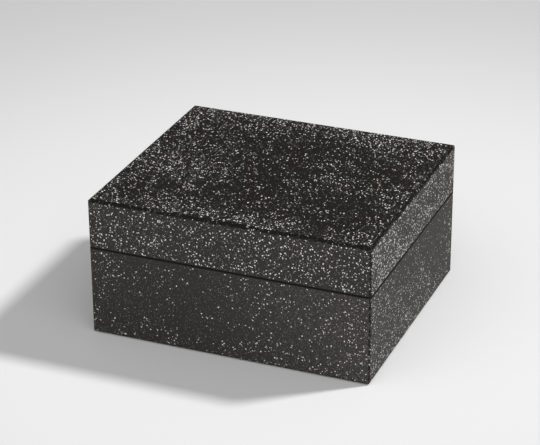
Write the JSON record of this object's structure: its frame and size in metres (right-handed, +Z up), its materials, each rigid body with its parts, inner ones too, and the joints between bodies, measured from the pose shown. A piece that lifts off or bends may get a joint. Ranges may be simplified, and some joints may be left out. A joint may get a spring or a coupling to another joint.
{
  "type": "lacquered writing box",
  "caption": "Low lacquered box with a flush lift-off lid, a lift-out tray, an inkstone, a water dropper, brushes and writing tools.",
  "frame": {"origin": "middle of the underside, where the box stands", "axes": "+X along the long side, +Y from the front to the back, +Z up"},
  "size_m": [0.242, 0.212, 0.121],
  "materials": {
    "sprinkled_lacquer": "glossy black lacquer on wood, sprinkled with small pale flakes",
    "black_lacquer": "satin black lacquer on wood",
    "bare_wood": "bare oiled wood",
    "slate": "honed dark slate",
    "copper": "toned copper",
    "bamboo": "polished bamboo",
    "dark_bamboo": "smoked bamboo",
    "horn": "polished dark horn",
    "hair": "stiffened animal hair",
    "ink": "pressed soot and glue",
    "brass": "polished brass",
    "steel": "ground steel"
  },
  "bodies": {
    "lower_box": {"bottom_board": "sprinkled_lacquer", "box_front_wall": "sprinkled_lacquer", "box_right_wall": "sprinkled_lacquer", "box_back_wall": "sprinkled_lacquer", "box_left_wall": "sprinkled_lacquer", "box_mitre_splines": "bare_wood", "lining_front": "black_lacquer", "lining_right": "black_lacquer", "lining_back": "black_lacquer", "lining_left": "black_lacquer", "tray_ledge_left": "black_lacquer", "tray_ledge_right": "black_lacquer"},
    "lid": {"lid_top_board": "sprinkled_lacquer", "lid_front_wall": "sprinkled_lacquer", "lid_right_wall": "sprinkled_lacquer", "lid_back_wall": "sprinkled_lacquer", "lid_left_wall": "sprinkled_lacquer", "lid_mitre_splines": "bare_wood"},
    "tray": {"tray_floor": "black_lacquer", "tray_front_wall": "black_lacquer", "tray_right_wall": "black_lacquer", "tray_back_wall": "black_lacquer", "tray_left_wall": "black_lacquer", "brush_partition": "black_lacquer", "tool_partition": "black_lacquer", "stone_stop": "black_lacquer", "dropper_block_front": "black_lacquer", "dropper_block_back": "black_lacquer", "brush_rest_left": "black_lacquer", "brush_rest_right": "black_lacquer", "tool_rest_left": "black_lacquer", "tool_rest_right": "black_lacquer"},
    "inkstone": {"inkstone": "slate"},
    "water_dropper": {"dropper_vessel": "copper", "dropper_cover": "copper", "dropper_spout": "copper"},
    "writing_brush": {"brush_handle": "bamboo", "brush_collar": "horn", "brush_hair": "hair"},
    "fine_writing_brush": {"fine_brush_handle": "dark_bamboo", "fine_brush_collar": "horn", "fine_brush_hair": "hair"},
    "ink_stick": {"ink_stick": "ink"},
    "paper_knife": {"knife_handle": "bare_wood", "knife_collar": "brass", "knife_blade": "steel"},
    "awl": {"awl_handle": "bare_wood", "awl_collar": "brass", "awl_spike": "steel"}
  },
  "joints": [
    {"name": "lid_lift", "type": "slide", "parent": "lower_box", "child": "lid", "axis": [0, 0, 1], "range_m": [0, 0.28]},
    {"name": "tray_lift", "type": "slide", "parent": "lower_box", "child": "tray", "axis": [0, 0, 1], "range_m": [0, 0.14]},
    {"name": "inkstone_lift", "type": "slide", "parent": "tray", "child": "inkstone", "axis": [0, 0, 1], "range_m": [0, 0.024]},
    {"name": "dropper_lift", "type": "slide", "parent": "tray", "child": "water_dropper", "axis": [0, 0, 1], "range_m": [0, 0.024]},
    {"name": "brush_lift", "type": "slide", "parent": "tray", "child": "writing_brush", "axis": [0, 0, 1], "range_m": [0, 0.024]},
    {"name": "fine_brush_lift", "type": "slide", "parent": "tray", "child": "fine_writing_brush", "axis": [0, 0, 1], "range_m": [0, 0.024]},
    {"name": "ink_stick_lift", "type": "slide", "parent": "tray", "child": "ink_stick", "axis": [0, 0, 1], "range_m": [0, 0.024]},
    {"name": "knife_lift", "type": "slide", "parent": "tray", "child": "paper_knife", "axis": [0, 0, 1], "range_m": [0, 0.024]},
    {"name": "awl_lift", "type": "slide", "parent": "tray", "child": "awl", "axis": [0, 0, 1], "range_m": [0, 0.024]}
  ],
  "couplings": [
    {"joint": "tray_lift", "follows": "lid_lift", "ratio": 0.5}
  ]
}
